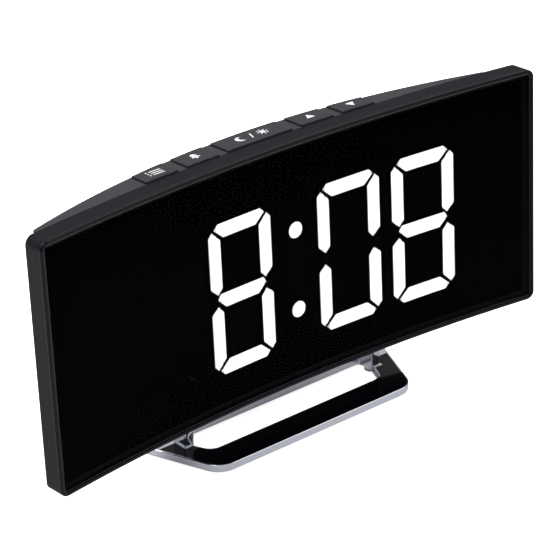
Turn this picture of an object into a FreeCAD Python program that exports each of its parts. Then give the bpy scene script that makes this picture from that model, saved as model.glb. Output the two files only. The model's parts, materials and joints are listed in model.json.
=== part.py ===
import FreeCAD, Part
import math
import os

from FreeCAD import Vector

# Curved-screen LED alarm clock on a ring stand. Millimetres, +Z up, front towards -Y.
# The clock body is drawn upright in its own frame (origin at the middle of the front face)
# and then leaned back onto the stand.

# Body outline
BODY_WIDTH = 187.0
BODY_HEIGHT = 78.0
FRONT_RADIUS = 579.0          # concave front face
BEZEL_DEPTH = 7.2
BEZEL_CORNER = 2.7
BEZEL_EDGE_ROUND = 0.6
BEZEL_WALL = 1.8
RIM_WIDTH = 1.2
REAR_RADIUS = 258.2           # convex back
REAR_APEX = 16.7              # back face behind the front face, at the housing's middle
HOUSING_X = -4.2              # middle of the rear housing and of the button row
REAR_HALF_WIDTH = 84.5
REAR_EDGE_BEVEL = 0.4
COVER_WALL = 1.5
COVER_ROOF = 1.8
BACK_PLATE = 0.6
BACK_PLATE_INSET = 0.6
SPIGOT_DEPTH = 1.5
SPIGOT_WALL = 2.0
CAVITY_HALF_WIDTH = 74.5
LEAN_DEG = 3.7

# Front glass and display
LENS_INSET = 0.4
LENS_THICK = 1.5
LENS_LEDGE = 1.8
LEDGE_DEPTH = 1.5
MASK_THICK = 0.8
INSIDE_CORNER = 1.0           # plan corners of everything set inside the bezel
DIGIT_CENTRES = (-47.0, -18.4, 23.5, 52.1)
COLON_X = 3.0
DIGIT_Z = -2.7
DIGIT_HALF_WIDTH = 12.0
DIGIT_BORDER = 15.0           # half the body's height less half the digit's
STROKE = 4.6
STROKE_CUT = STROKE / 3       # slanted corner at each stroke's outer end
STROKE_GAP = 0.35
TOP_STROKE_IN = 3.8           # outer end of the top stroke, in from the digit's side
TOP_STROKE_FOOT = 5.8         # inner end of the same stroke
SIDE_KNEE = 0.2               # drop of the side stroke's inner corner
UPPER_SIDE_ENDS = (3.8, 1.8, 4.4)      # lower end of the upper side stroke: inside, point, outside
LOWER_SIDE_ENDS = (4.0, 1.7, 4.0)      # upper end of the lower side stroke, the same way
UPPER_SIDE_POINT = 2.76       # the point, in from the digit's side
LOWER_SIDE_POINT = 2.58
MIDDLE_TOP = 2.0              # upper edge of the middle stroke, above the digit's middle
MIDDLE_POINT_Z = 0.3
MIDDLE_ENDS = (3.7, 2.6, 5.7)          # upper corner, point and lower corner, in from the side
COLON_HALF_GAP = 12.9
COLON_DIAMETER = 5.2
LIT_DIGITS = ("", "abcdefg", "abcdef", "abcdefg")
DISPLAY_MARGIN = 2.4
BOARD_FRONT = 4.0             # display board, behind the front face
BOARD_THICK = 1.2
LAMP_SIZE = (0.8, 0.6, 1.6)   # wide, proud of the board, tall

# Buttons, left to right: name, left side, width
BUTTON_GAP = 3.0
BUTTON_WIDTHS = (("mode", 12.6), ("alarm", 12.6), ("snooze_light", 25.0), ("up", 12.6), ("down", 12.6))
BUTTON_PROUD = 0.6
BUTTON_TRAVEL = 0.5
BUTTON_REAR_LAND = 0.15       # flat left on the back wall's top behind each button
BUTTON_LIP = 0.6
BUTTON_LIP_THICK = 0.7
BUTTON_ROUND = 0.3
STEM_SIZE = 2.4
STEM_PLACE = 0.45             # along the way from the bezel to the back wall
SWITCH_SIZE = 4.4
SWITCH_HEIGHT = 2.2
PLUNGER_DIAMETER = 1.8
PLUNGER_OUT = 1.0
PLUNGER_IN = 1.0
SWITCH_BOARD_DROP = 9.0       # below the top of the body
SWITCH_BOARD_THICK = 1.0
SWITCH_BOARD_FRONT = 4.2

# Back-up cell and its sliding door
CELL_X = 20.5
CELL_RISE = 20.0              # cell's middle above the underside
CELL_DIAMETER = 20.0
CELL_THICK = 3.2
CELL_EDGE_ROUND = 0.4
HOLDER_FLOOR = 1.2
HOLDER_WALL = 1.5
HOLDER_HOLE = 8.0
HOLDER_FINGER = 10.0          # width of the finger gap
HOLDER_FINGER_RISE = 4.0      # its lower end above the cell's middle
HOLDER_RIM_DROP = 0.6         # cell stands this far out of the tray
CONTACT_THICK = 0.4
CONTACT_WIDTH = 5.0
CONTACT_OUT = 2.2             # its foot, out from the cell's edge
CONTACT_END = 4.0             # its free end, short of the cell's middle
DOOR_HALF_WIDTH = 13.0
DOOR_TONGUE = 1.0
DOOR_SKIN = 0.8
DOOR_RISE = 12.5              # door's top edge above the cell's middle
RAIL_THICK = 1.2
RAIL_WIDTH = 1.45
GRIP_GROOVES = 5
GRIP_HALF_WIDTH = 5.0
GRIP_TOP = 3.0                # first groove below the door's top edge
GRIP_PITCH = 1.6
GRIP_GROOVE = 0.8
GRIP_DEPTH = 0.4

# Power socket
SOCKET_X = -28.0
SOCKET_RISE = 19.0            # socket's middle above the underside
SOCKET_WIDTH = 9.0
SOCKET_HEIGHT = 3.3
SOCKET_WALL = 0.35
SOCKET_SUNK = 0.6             # its mouth inside the back face
SOCKET_MOUTH_GAP = 0.3
SOCKET_BASE = 3.0
SOCKET_TONGUE_WIDTH = 6.4
SOCKET_TONGUE_THICK = 0.7
SOCKET_TONGUE_SHORT = 0.6     # tongue's end inside the mouth

# Fasteners
CASE_SCREW_INSET = 7.5        # in from the ends, the top and the bottom
CASE_SCREW_DIAMETER = 2.2
CASE_HEAD_DIAMETER = 4.0
CASE_HEAD_HEIGHT = 1.4
BOSS_DIAMETER = 6.0
SEAT_DEPTH = 0.75             # case screw's seat, forward of the bezel's back face
CASE_SCREW_TIP = 0.5          # its tip behind the mask
CROSS_HALF_LENGTH = 1.1
CROSS_HALF_WIDTH = 0.25
CROSS_DEPTH = 0.7
BOSS_RIB = 2.0
BOARD_SCREW_INSET = 4.0       # in from the digit's top and bottom
BOARD_SCREW_DIAMETER = 1.4
BOARD_SCREW_BITE = 1.5
BOARD_HEAD_DIAMETER = 2.8
BOARD_HEAD_HEIGHT = 0.9
SUPPORT_DIAMETER = 3.4
SUPPORT_INSETS = (20.0, 12.0, 4.0)     # from the board's left end, right end, top and bottom
SHELF_SIZE = 2.4
SHELF_HEIGHT = 2.0
SCREW_BLOCK_WIDTH = 6.0
SCREW_BLOCK_ROOF = 1.0        # left over the tip of a stand screw

# Parts on the back of the display board
BUZZER_X = -2.0
BUZZER_DROP = 33.0            # buzzer's middle below the top of the body
BUZZER_DIAMETER = 12.0
BUZZER_HEIGHT = 6.0
BUZZER_HOLE = (2.4, 1.5)      # diameter and depth of its sound hole
SOUND_HOLE = 1.2
SOUND_RINGS = ((2.6, 6), (5.0, 12))    # radius and number of holes
CONTROLLER_PLACE = (24.0, 11.0)
CONTROLLER_SIZE = (7.6, 12.8, 1.6)
DRIVER_PLACE = (-43.0, 2.0)
DRIVER_SIZE = (3.9, 9.9, 1.4)
CHIP_LIFT = 0.1
PIN_PITCH = 1.27
PIN_OUT = 0.9
PIN_WIDTH = 0.4
PIN_HEIGHT = 0.5
CRYSTAL_PLACE = (41.0, 4.0)
CRYSTAL_DIAMETER = 2.0
CRYSTAL_LENGTH = 6.0
CAPACITOR_PLACES = ((-22.0, 6.0), (-22.0, -4.0))
CAPACITOR_DIAMETER = 5.0
CAPACITOR_HEIGHT = 5.6
CAPACITOR_BASE = 5.2
CAPACITOR_BASE_THICK = 0.8
RIBBON_WIDTH = 10.0
RIBBON_THICK = 0.3
RIBBON_IN = 4.0               # its lower end below the display board's top
SOCKET_BLOCK_HEIGHT = 2.4
SOCKET_BLOCK_SIDE = 1.2       # its end beyond the ribbon

# Stand
STAND_FRONT_HALF_WIDTH = 38.2
STAND_REAR_HALF_WIDTH = 51.8
STAND_DEPTH = 33.6
STAND_THICK = 2.4
STAND_FRONT_BAR = 9.9
STAND_REAR_BAR = 10.1
STAND_ARM = 7.8               # square to the arm
STAND_OUTER_ROUND = 7.0
STAND_INNER_ROUND = 4.5
STAND_RIM = 0.6
STAND_EDGE_ROUND = 0.3
INLAY_THICK = 0.8
INLAY_END = 20.0              # from the front of the stand to the inlay's ends
POST_WIDTH = 3.4
POST_DEPTH = 6.0
POST_INNER = 35.6
POST_FRONT = 15.8             # from the front of the stand
POST_HEIGHT = 9.6             # stand top to the body's underside, at the post's front
POST_EDGE_ROUND = 0.6
STAND_SCREW_DIAMETER = 1.8
STAND_HEAD_DIAMETER = 3.4
STAND_HEAD_HEIGHT = 1.1
STAND_SCREW_BITE = 4.5
STAND_SCREW_TIP_GAP = 1.0
STAND_CROSS_HALF_LENGTH = 1.0
STAND_CROSS_HALF_WIDTH = 0.2
STAND_CROSS_DEPTH = 0.5
REAR_FOOT_INSET = 2.0         # rear feet, further in from the corner than the front ones
FOOT_DIAMETER = 5.6
FOOT_THICK = 0.8
FOOT_PROUD = 0.3
BODY_FROM_STAND_FRONT = 12.3  # front of the stand to the middle of the front face

# Clearances
FIT = 0.1                     # between fixed pieces that drop into each other
SLIDE = 0.15                  # round the door
BUTTON_CLEAR = 0.2
BUTTON_END_GAP = 0.3          # slot to button, at its two ends

HALF_W = BODY_WIDTH / 2
HALF_H = BODY_HEIGHT / 2
MASK_FRONT = LENS_INSET + LENS_THICK
MASK_BACK = MASK_FRONT + MASK_THICK
BOARD_BACK = BOARD_FRONT + BOARD_THICK
SPIGOT_HALF_W = HALF_W - BEZEL_WALL - FIT
SPIGOT_HALF_H = HALF_H - BEZEL_WALL - FIT
SPIGOT_FRONT = BEZEL_DEPTH - SPIGOT_DEPTH
ROOF_Z = HALF_H - COVER_ROOF
SWITCH_BOARD_TOP = HALF_H - SWITCH_BOARD_DROP
BUTTON_REAR_WALL = REAR_EDGE_BEVEL + BUTTON_REAR_LAND
DIGIT_HALF_HEIGHT = HALF_H - DIGIT_BORDER
BUZZER_Z = HALF_H - BUZZER_DROP
CELL_Z = CELL_RISE - HALF_H
CELL_SEAT = BOARD_BACK + HOLDER_FLOOR
DOOR_TOP = CELL_Z + DOOR_RISE
SOCKET_Z = SOCKET_RISE - HALF_H
STAND_TOP = FOOT_PROUD + STAND_THICK
LEAN = math.radians(LEAN_DEG)
STAND_FRONT_Y = -STAND_DEPTH / 2
BODY_Y = STAND_FRONT_Y + BODY_FROM_STAND_FRONT
POST_FRONT_Y = STAND_FRONT_Y + POST_FRONT
# Height of the body's origin that puts its underside POST_HEIGHT above the stand at the post's front
BODY_Z = (
    STAND_TOP
    + POST_HEIGHT
    + HALF_H * math.cos(LEAN)
    + (POST_FRONT_Y - BODY_Y + HALF_H * math.sin(LEAN)) * math.tan(LEAN)
)


# ---------------------------------------------------------------- drawing helpers


def front_y(x, depth):
    """Y of the curved face that lies depth behind the front face."""
    return math.sqrt((FRONT_RADIUS + depth) ** 2 - x * x) - FRONT_RADIUS


def rear_y(x, inset):
    """Y of the curved face that lies inset inside the back face."""
    return REAR_APEX - REAR_RADIUS + math.sqrt((REAR_RADIUS - inset) ** 2 - (x - HOUSING_X) ** 2)


def arc(start, middle, end):
    return Part.Arc(start, middle, end).toShape()


def plan_prism(edges, z0, z1):
    """Edges in the XY plane, closed and pushed up from z0 to z1."""
    solid = Part.Face(Part.Wire(edges)).extrude(Vector(0, 0, z1 - z0))
    solid.translate(Vector(0, 0, z0))
    return solid


def between(x0, x1, low, high, z0, z1):
    """A block from x0 to x1 between the curves low(x) and high(x)."""
    middle = (x0 + x1) / 2
    corners = [Vector(x, f(x), 0) for x, f in ((x0, low), (x1, low), (x1, high), (x0, high))]
    edges = [
        arc(corners[0], Vector(middle, low(middle), 0), corners[1]),
        Part.makeLine(corners[1], corners[2]),
        arc(corners[2], Vector(middle, high(middle), 0), corners[3]),
        Part.makeLine(corners[3], corners[0]),
    ]
    return plan_prism(edges, z0, z1)


def rounded_face(corners, to_space):
    """A flat face from (u, v, radius) corners; to_space turns (u, v) into a point."""
    count = len(corners)
    starts = []
    ends = []
    arcs = []
    for i in range(count):
        u, v, radius = corners[i]
        here = Vector(u, v, 0)
        before = (Vector(corners[i - 1][0], corners[i - 1][1], 0) - here).normalize()
        after_corner = corners[(i + 1) % count]
        after = (Vector(after_corner[0], after_corner[1], 0) - here).normalize()
        half = before.getAngle(after) / 2
        reach = radius / math.tan(half)
        inward = (before + after).normalize()
        middle = here + inward * (radius / math.sin(half) - radius)
        starts.append(here + before * reach)
        ends.append(here + after * reach)
        arcs.append((starts[-1], middle, ends[-1], radius))
    edges = []
    for i in range(count):
        start, middle, end, radius = arcs[i]
        if radius > 0:
            edges.append(arc(*[to_space(p.x, p.y) for p in (start, middle, end)]))
        following = starts[(i + 1) % count]
        edges.append(Part.makeLine(to_space(end.x, end.y), to_space(following.x, following.y)))
    return Part.Face(Part.Wire(edges))


def upright(corners, y0, y1):
    """(x, z, radius) corners pushed along Y from y0 to y1."""
    face = rounded_face(corners, lambda x, z: Vector(x, y0, z))
    return face.extrude(Vector(0, y1 - y0, 0))


def curved_panel(depth0, depth1, half_w, half_h, corner):
    """A panel that follows the front face, between two depths, with rounded corners."""
    slab = between(
        -half_w, half_w, lambda x: front_y(x, depth0), lambda x: front_y(x, depth1), -half_h, half_h
    )
    outline = [(sx * half_w, sz * half_h, corner) for sx, sz in ((-1, -1), (1, -1), (1, 1), (-1, 1))]
    return slab.common(upright(outline, -HALF_W, HALF_W))


def box(x0, x1, y0, y1, z0, z1):
    return Part.makeBox(x1 - x0, y1 - y0, z1 - z0, Vector(x0, y0, z0))


def rod_y(x, z, diameter, y0, y1):
    return Part.makeCylinder(diameter / 2, y1 - y0, Vector(x, y0, z), Vector(0, 1, 0))


def rod_z(x, y, diameter, z0, z1):
    return Part.makeCylinder(diameter / 2, z1 - z0, Vector(x, y, z0), Vector(0, 0, 1))


def lean_back(shape):
    """From the body's own frame to its place on the stand."""
    placed = shape.copy()
    placed.rotate(Vector(0, 0, 0), Vector(1, 0, 0), -LEAN_DEG)
    placed.translate(Vector(0, BODY_Y, BODY_Z))
    return placed


def export(name, shape):
    shape.exportStep("parts/" + name + ".step")


def export_body(name, shape):
    export(name, lean_back(shape))


# ---------------------------------------------------------------- digits


def segment_outlines():
    """Corner points of the seven strokes of one digit, about the digit's centre."""
    w = DIGIT_HALF_WIDTH
    h = DIGIT_HALF_HEIGHT
    cut = STROKE_CUT
    end = w - TOP_STROKE_IN
    foot = w - TOP_STROKE_FOOT
    right_half = [(end, h), (end + cut, h - cut), (foot, h - STROKE)]
    top = right_half + [(-x, z) for x, z in reversed(right_half)]
    side_top = h - TOP_STROKE_IN + STROKE_GAP
    knee = side_top - STROKE + 2 * cut - SIDE_KNEE

    def side_stroke(sign, ends, point_in):
        inside, point, outside = ends
        return [
            (w, sign * side_top),
            (w - cut, sign * (side_top + cut)),
            (w - STROKE, sign * knee),
            (w - STROKE, sign * inside),
            (w - point_in, sign * point),
            (w, sign * outside),
        ]

    side = side_stroke(1, UPPER_SIDE_ENDS, UPPER_SIDE_POINT)
    low_side = side_stroke(-1, LOWER_SIDE_ENDS, LOWER_SIDE_POINT)
    upper, point, lower = [w - inset for inset in MIDDLE_ENDS]
    bottom = MIDDLE_TOP - STROKE
    middle = [
        (-upper, MIDDLE_TOP),
        (upper, MIDDLE_TOP),
        (point, MIDDLE_POINT_Z),
        (lower, bottom),
        (-lower, bottom),
        (-point, MIDDLE_POINT_Z),
    ]
    return {
        "a": top,
        "b": side,
        "c": low_side,
        "d": [(x, -z) for x, z in top],
        "e": [(-x, z) for x, z in low_side],
        "f": [(-x, z) for x, z in side],
        "g": middle,
    }


def segment_prism(centre_x, outline, shrink):
    """One stroke's window, from in front of the mask to the board, smaller by shrink all round."""
    corners = [(centre_x + x, DIGIT_Z + z, 0) for x, z in outline]
    face = rounded_face(corners, lambda x, z: Vector(x, -HALF_H, z))
    if shrink:
        face = face.makeOffset2D(-shrink)
    return face.extrude(Vector(0, HALF_H + BOARD_FRONT, 0))


def dot_prism(sign, shrink):
    z = DIGIT_Z + sign * COLON_HALF_GAP
    return rod_y(COLON_X, z, COLON_DIAMETER - 2 * shrink, -HALF_H, BOARD_FRONT)


def window_prisms(shrink):
    """(lit, prism) for every window of the display."""
    windows = []
    outlines = segment_outlines()
    for centre, lit in zip(DIGIT_CENTRES, LIT_DIGITS):
        for letter in "abcdefg":
            windows.append((letter in lit, segment_prism(centre, outlines[letter], shrink)))
    for sign in (1, -1):
        windows.append((True, dot_prism(sign, shrink)))
    return windows


def display_span():
    """Left, right, bottom and top of the light box and its board."""
    left = DIGIT_CENTRES[0] - DIGIT_HALF_WIDTH - DISPLAY_MARGIN
    right = DIGIT_CENTRES[-1] + DIGIT_HALF_WIDTH + DISPLAY_MARGIN / 2
    reach = DIGIT_HALF_HEIGHT + DISPLAY_MARGIN
    return left, right, DIGIT_Z - reach, DIGIT_Z + reach


def board_screw_places():
    places = []
    for first in (0, 2):
        x = (DIGIT_CENTRES[first] + DIGIT_CENTRES[first + 1]) / 2
        for sign in (-1, 1):
            places.append((x, DIGIT_Z + sign * (DIGIT_HALF_HEIGHT - BOARD_SCREW_INSET)))
    return places


def board_screw_holes():
    return [rod_y(x, z, BOARD_SCREW_DIAMETER + FIT, 0, 2 * BOARD_BACK) for x, z in board_screw_places()]


# ---------------------------------------------------------------- front of the body


def case_screw_places():
    x = HALF_W - CASE_SCREW_INSET
    z = HALF_H - CASE_SCREW_INSET
    return [(sx * x, sz * z) for sx in (-1, 1) for sz in (-1, 1)]


def make_bezel():
    """Moulded frame: outer skin, lens seat and four screw bosses on ribs."""
    frame = curved_panel(0, BEZEL_DEPTH, HALF_W, HALF_H, BEZEL_CORNER)
    rounded = []
    for edge in frame.Edges:
        places = [vertex.Point for vertex in edge.Vertexes]
        if all(abs(p.y - front_y(p.x, 0)) < 0.01 for p in places):
            rounded.append(edge)
    frame = frame.makeFillet(BEZEL_EDGE_ROUND, rounded)
    pocket_w = HALF_W - RIM_WIDTH
    pocket_h = HALF_H - RIM_WIDTH
    corner = BEZEL_CORNER - RIM_WIDTH
    frame = frame.cut(curved_panel(-1, MASK_FRONT, pocket_w, pocket_h, corner))
    throat_w = pocket_w - LENS_LEDGE
    throat_h = pocket_h - LENS_LEDGE
    frame = frame.cut(curved_panel(MASK_FRONT - 1, BEZEL_DEPTH + 1, throat_w, throat_h, corner / 2))
    inside_w = HALF_W - BEZEL_WALL
    inside_h = HALF_H - BEZEL_WALL
    frame = frame.cut(
        curved_panel(MASK_FRONT + LEDGE_DEPTH, BEZEL_DEPTH + 1, inside_w, inside_h, BEZEL_CORNER - BEZEL_WALL)
    )
    half_wall = BEZEL_WALL / 2
    zone_w = inside_w + half_wall
    zone_h = inside_h + half_wall
    zone = curved_panel(MASK_BACK + FIT, SPIGOT_FRONT, zone_w, zone_h, INSIDE_CORNER)
    bosses = []
    for x, z in case_screw_places():
        boss = rod_y(x, z, BOSS_DIAMETER, -HALF_H, HALF_H)
        rib_z = sorted((z, math.copysign(HALF_H, z)))
        boss = boss.fuse(box(x - BOSS_RIB / 2, x + BOSS_RIB / 2, -HALF_H, HALF_H, rib_z[0], rib_z[1]))
        bosses.append(boss.common(zone))
    frame = frame.fuse(bosses).removeSplitter()
    pilots = [rod_y(x, z, CASE_SCREW_DIAMETER + FIT, -HALF_H, HALF_H) for x, z in case_screw_places()]
    deep = curved_panel(MASK_BACK + FIT, SPIGOT_FRONT + 1, inside_w, inside_h, INSIDE_CORNER)
    return frame.cut([pilot.common(deep) for pilot in pilots])


def make_lens():
    half_w = HALF_W - RIM_WIDTH - FIT
    half_h = HALF_H - RIM_WIDTH - FIT
    return curved_panel(LENS_INSET, MASK_FRONT, half_w, half_h, BEZEL_CORNER - RIM_WIDTH - FIT)


def make_mask(windows):
    half_w = HALF_W - RIM_WIDTH - LENS_LEDGE - FIT
    half_h = HALF_H - RIM_WIDTH - LENS_LEDGE - FIT
    mask = curved_panel(MASK_FRONT, MASK_BACK, half_w, half_h, INSIDE_CORNER)
    return mask.cut([prism for lit, prism in windows])


def make_inserts(lit_wanted):
    """Diffuser strokes that fill the mask's windows."""
    border = 4 * RIM_WIDTH
    layer = curved_panel(MASK_FRONT, MASK_BACK, HALF_W - border, HALF_H - border, INSIDE_CORNER)
    pieces = [prism.common(layer) for lit, prism in window_prisms(FIT / 2) if lit == lit_wanted]
    return Part.Compound(pieces)


def make_light_box(windows):
    """White cell block between the curved mask and the flat board."""
    left, right, bottom, top = display_span()
    block = between(
        left, right, lambda x: front_y(x, MASK_BACK + FIT), lambda x: front_y(x, 3 * BOARD_BACK), bottom, top
    )
    block = block.common(box(left, right, -HALF_H, BOARD_FRONT, bottom, top))
    block = block.cut([prism for lit, prism in windows])
    return block.cut(board_screw_holes())


def make_display_board():
    left, right, bottom, top = display_span()
    board = box(left, right, BOARD_FRONT, BOARD_BACK, bottom, top)
    return board.cut(board_screw_holes())


def make_leds():
    """One small lamp at the middle of every window, on the board's front."""
    wide, proud, tall = LAMP_SIZE
    lamps = []
    spots = []
    for centre in DIGIT_CENTRES:
        for outline in segment_outlines().values():
            x = sum(point[0] for point in outline) / len(outline)
            z = sum(point[1] for point in outline) / len(outline)
            spots.append((centre + x, DIGIT_Z + z))
    spots += [(COLON_X, DIGIT_Z + COLON_HALF_GAP), (COLON_X, DIGIT_Z - COLON_HALF_GAP)]
    for x, z in spots:
        lamps.append(
            box(x - wide / 2, x + wide / 2, BOARD_FRONT - proud, BOARD_FRONT, z - tall / 2, z + tall / 2)
        )
    return Part.Compound(lamps)


def make_board_screws():
    screws = []
    for x, z in board_screw_places():
        shank = rod_y(x, z, BOARD_SCREW_DIAMETER, BOARD_FRONT - BOARD_SCREW_BITE, BOARD_BACK + FIT)
        head = rod_y(x, z, BOARD_HEAD_DIAMETER, BOARD_BACK, BOARD_BACK + BOARD_HEAD_HEIGHT)
        screws.append(shank.fuse(head).removeSplitter())
    return Part.Compound(screws)


# ---------------------------------------------------------------- buttons


def button_spans():
    """(name, left, right) of every button's slot."""
    spans = []
    row = sum(width for name, width in BUTTON_WIDTHS) + BUTTON_GAP * (len(BUTTON_WIDTHS) - 1)
    left = HOUSING_X - row / 2
    for name, width in BUTTON_WIDTHS:
        spans.append((name, left, left + width))
        left += width + BUTTON_GAP
    return spans


def switch_place(left, right):
    x = (left + right) / 2
    front = front_y(x, BEZEL_DEPTH)
    rear = rear_y(x, COVER_WALL)
    return x, front + (rear - front) * STEM_PLACE


def button_block(left, right, rear_inset, z0, z1):
    return between(
        left,
        right,
        lambda x: front_y(x, BEZEL_DEPTH + BUTTON_CLEAR),
        lambda x: rear_y(x, rear_inset + BUTTON_CLEAR),
        z0,
        z1,
    )


def make_button(left, right):
    """Cap over the back wall's step, a retaining lip under the roof, and a stem to the switch."""
    top = HALF_H + BUTTON_PROUD
    cap_bottom = ROOF_Z + BUTTON_TRAVEL + BUTTON_CLEAR
    lip_top = ROOF_Z - BUTTON_CLEAR
    cap_left = left + BUTTON_END_GAP
    cap_right = right - BUTTON_END_GAP
    cap = button_block(cap_left, cap_right, BUTTON_REAR_WALL, cap_bottom, top)
    top_edges = [e for e in cap.Edges if all(v.Point.z > top - 0.01 for v in e.Vertexes)]
    cap = cap.makeFillet(BUTTON_ROUND, top_edges)
    neck = button_block(cap_left, cap_right, COVER_WALL, lip_top - BUTTON_LIP_THICK, cap_bottom)
    lip = button_block(left - BUTTON_LIP, right + BUTTON_LIP, COVER_WALL, lip_top - BUTTON_LIP_THICK, lip_top)
    x, y = switch_place(left, right)
    half = STEM_SIZE / 2
    plunger_top = SWITCH_BOARD_TOP + SWITCH_HEIGHT + PLUNGER_OUT
    stem = box(x - half, x + half, y - half, y + half, plunger_top, lip_top)
    return cap.fuse([neck, lip, stem]).removeSplitter()


def make_plunger(left, right):
    x, y = switch_place(left, right)
    body_top = SWITCH_BOARD_TOP + SWITCH_HEIGHT
    return rod_z(x, y, PLUNGER_DIAMETER, body_top - PLUNGER_IN, body_top + PLUNGER_OUT)


def make_switch_board():
    spans = button_spans()
    left = spans[0][1] - BUTTON_GAP / 2
    right = spans[-1][2] + BUTTON_GAP / 2
    return between(
        left,
        right,
        lambda x: front_y(x, SWITCH_BOARD_FRONT),
        lambda x: rear_y(x, COVER_WALL + FIT),
        SWITCH_BOARD_TOP - SWITCH_BOARD_THICK,
        SWITCH_BOARD_TOP,
    )


def make_switches():
    half = SWITCH_SIZE / 2
    switches = []
    for name, left, right in button_spans():
        x, y = switch_place(left, right)
        z = SWITCH_BOARD_TOP
        can = box(x - half, x + half, y - half, y + half, z, z + SWITCH_HEIGHT)
        bore_floor = z + SWITCH_HEIGHT - PLUNGER_IN - BUTTON_TRAVEL - FIT
        switches.append(can.cut(rod_z(x, y, PLUNGER_DIAMETER + 2 * FIT, bore_floor, z + 2 * SWITCH_HEIGHT)))
    return Part.Compound(switches)


# ---------------------------------------------------------------- back of the body


def door_layer(half_width, inset0, inset1, z0, z1):
    """A strip of the back wall about the door's middle, from inset0 out to inset1."""
    return between(
        CELL_X - half_width,
        CELL_X + half_width,
        lambda x: rear_y(x, inset0),
        lambda x: rear_y(x, inset1),
        z0,
        z1,
    )


def make_door():
    """Skin flush with the back, tongues behind the wall's lips, and a ribbed finger grip."""
    bottom = -HALF_H
    skin = door_layer(DOOR_HALF_WIDTH, DOOR_SKIN, 0, bottom, DOOR_TOP)
    tongue = door_layer(DOOR_HALF_WIDTH + DOOR_TONGUE, COVER_WALL, DOOR_SKIN, bottom, DOOR_TOP)
    door = skin.fuse(tongue).removeSplitter()
    grooves = []
    floor = rear_y(CELL_X, GRIP_DEPTH)
    left = CELL_X - GRIP_HALF_WIDTH
    right = CELL_X + GRIP_HALF_WIDTH
    for i in range(GRIP_GROOVES):
        z = DOOR_TOP - GRIP_TOP - GRIP_PITCH * i
        grooves.append(box(left, right, floor, HALF_H, z - GRIP_GROOVE / 2, z + GRIP_GROOVE / 2))
    return door.cut(grooves)


def door_cuts():
    low = -HALF_H - 1
    top = DOOR_TOP + SLIDE
    tongue_half = DOOR_HALF_WIDTH + DOOR_TONGUE + SLIDE
    through = door_layer(DOOR_HALF_WIDTH + SLIDE, COVER_WALL + 3, -3, low, top)
    pocket = door_layer(tongue_half, COVER_WALL + 0.5, DOOR_SKIN - SLIDE, low, top)
    return [through, pocket]


def door_rails():
    """Ledges inside the wall that the door's tongues run on."""
    tongue_half = DOOR_HALF_WIDTH + DOOR_TONGUE + SLIDE
    low = -HALF_H - 1
    band = door_layer(tongue_half + RAIL_WIDTH, COVER_WALL + RAIL_THICK, COVER_WALL, -HALF_H, DOOR_TOP)
    track = door_layer(tongue_half, COVER_WALL + SLIDE, COVER_WALL - 1, low, HALF_H)
    middle = door_layer(DOOR_HALF_WIDTH, COVER_WALL + 2 * RAIL_THICK, 0, low, HALF_H)
    return band.cut([track, middle])


def sound_holes(x, z):
    holes = [rod_y(x, z, SOUND_HOLE, 0, HALF_H)]
    for ring, count in SOUND_RINGS:
        for i in range(count):
            turn = 2 * math.pi * i / count
            holes.append(rod_y(x + ring * math.cos(turn), z + ring * math.sin(turn), SOUND_HOLE, 0, HALF_H))
    return holes


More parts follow.
